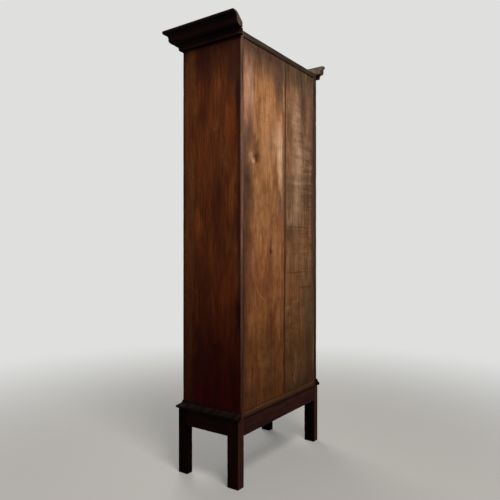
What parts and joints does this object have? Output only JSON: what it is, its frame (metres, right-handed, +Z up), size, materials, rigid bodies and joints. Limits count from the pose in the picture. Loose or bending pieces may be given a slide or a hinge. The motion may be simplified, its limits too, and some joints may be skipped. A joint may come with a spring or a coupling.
{
  "type": "bonnetiere cabinet",
  "caption": "Tall narrow cupboard with a hinged, locking panelled door, fixed shelves and a boarded back, on a low straight-legged stand under a moulded cornice.",
  "frame": {"origin": "on the floor under the middle of the cornice", "axes": "+Z up, the door faces -Y, +X is to the right of a person facing the door"},
  "size_m": [0.646, 0.319, 1.568],
  "materials": {
    "polished_mahogany": "worn french polish",
    "back_boards": "raw, aged and dusty",
    "carcase_wood": "raw, planed",
    "brass": "aged, rubbed",
    "iron": "dark, wrought"
  },
  "bodies": {
    "case": {"leg_front_left": "polished_mahogany", "leg_front_right": "polished_mahogany", "leg_back_left": "polished_mahogany", "leg_back_right": "polished_mahogany", "apron_front": "polished_mahogany", "apron_back": "polished_mahogany", "apron_left": "polished_mahogany", "apron_right": "polished_mahogany", "stand_glue_blocks": "carcase_wood", "waist_moulding_front": "polished_mahogany", "waist_moulding_left": "polished_mahogany", "waist_moulding_right": "polished_mahogany", "side_left": "polished_mahogany", "side_right": "polished_mahogany", "top_board": "carcase_wood", "bottom_board": "carcase_wood", "back_board_left": "back_boards", "back_board_right": "back_boards", "back_battens": "carcase_wood", "back_nails": "iron", "frame_stile_left": "polished_mahogany", "frame_stile_right": "polished_mahogany", "frame_rail_bottom": "polished_mahogany", "frame_rail_top": "polished_mahogany", "frame_pegs": "polished_mahogany", "door_stop": "carcase_wood", "shelf_lower": "carcase_wood", "shelf_middle": "carcase_wood", "shelf_upper": "carcase_wood", "shelf_cleats": "carcase_wood", "cleat_screws": "iron", "cornice_glue_blocks": "carcase_wood", "bed_moulding_front": "polished_mahogany", "bed_moulding_left": "polished_mahogany", "bed_moulding_right": "polished_mahogany", "crown_moulding_front": "polished_mahogany", "crown_moulding_left": "polished_mahogany", "crown_moulding_right": "polished_mahogany", "hinge_frame_leaves": "brass", "hinge_pins": "brass", "frame_screws": "brass", "strike_plate": "brass"},
    "door": {"door_hinge_stile": "polished_mahogany", "door_lock_stile": "polished_mahogany", "door_rail_bottom": "polished_mahogany", "door_rail_middle": "polished_mahogany", "door_rail_top": "polished_mahogany", "door_panel_lower": "polished_mahogany", "door_panel_upper": "polished_mahogany", "panel_beads": "polished_mahogany", "door_pegs": "polished_mahogany", "hinge_door_leaves": "brass", "door_screws": "brass", "lock_case": "iron", "lock_cap": "brass", "lock_spring": "iron", "keyhole_plate": "brass", "keyhole_plate_pins": "brass"},
    "key": {"key": "iron"},
    "bolt": {"lock_bolt": "brass"}
  },
  "joints": [
    {"name": "door_swing", "type": "hinge", "parent": "case", "child": "door", "pos_m": [-0.22325, -0.1113, 0.854], "axis": [0, 0, -1], "range_deg": [0, 170]},
    {"name": "key_turn", "type": "hinge", "parent": "door", "child": "key", "pos_m": [0.1985, -0.0965, 0.88], "axis": [0, 1, 0], "range_deg": [0, 360]},
    {"name": "bolt_throw", "type": "slide", "parent": "door", "child": "bolt", "axis": [1, 0, 0], "range_m": [0, 0.008]}
  ],
  "couplings": [
    {"joint": "bolt_throw", "follows": "key_turn", "m_per_rad": 0.001273}
  ]
}
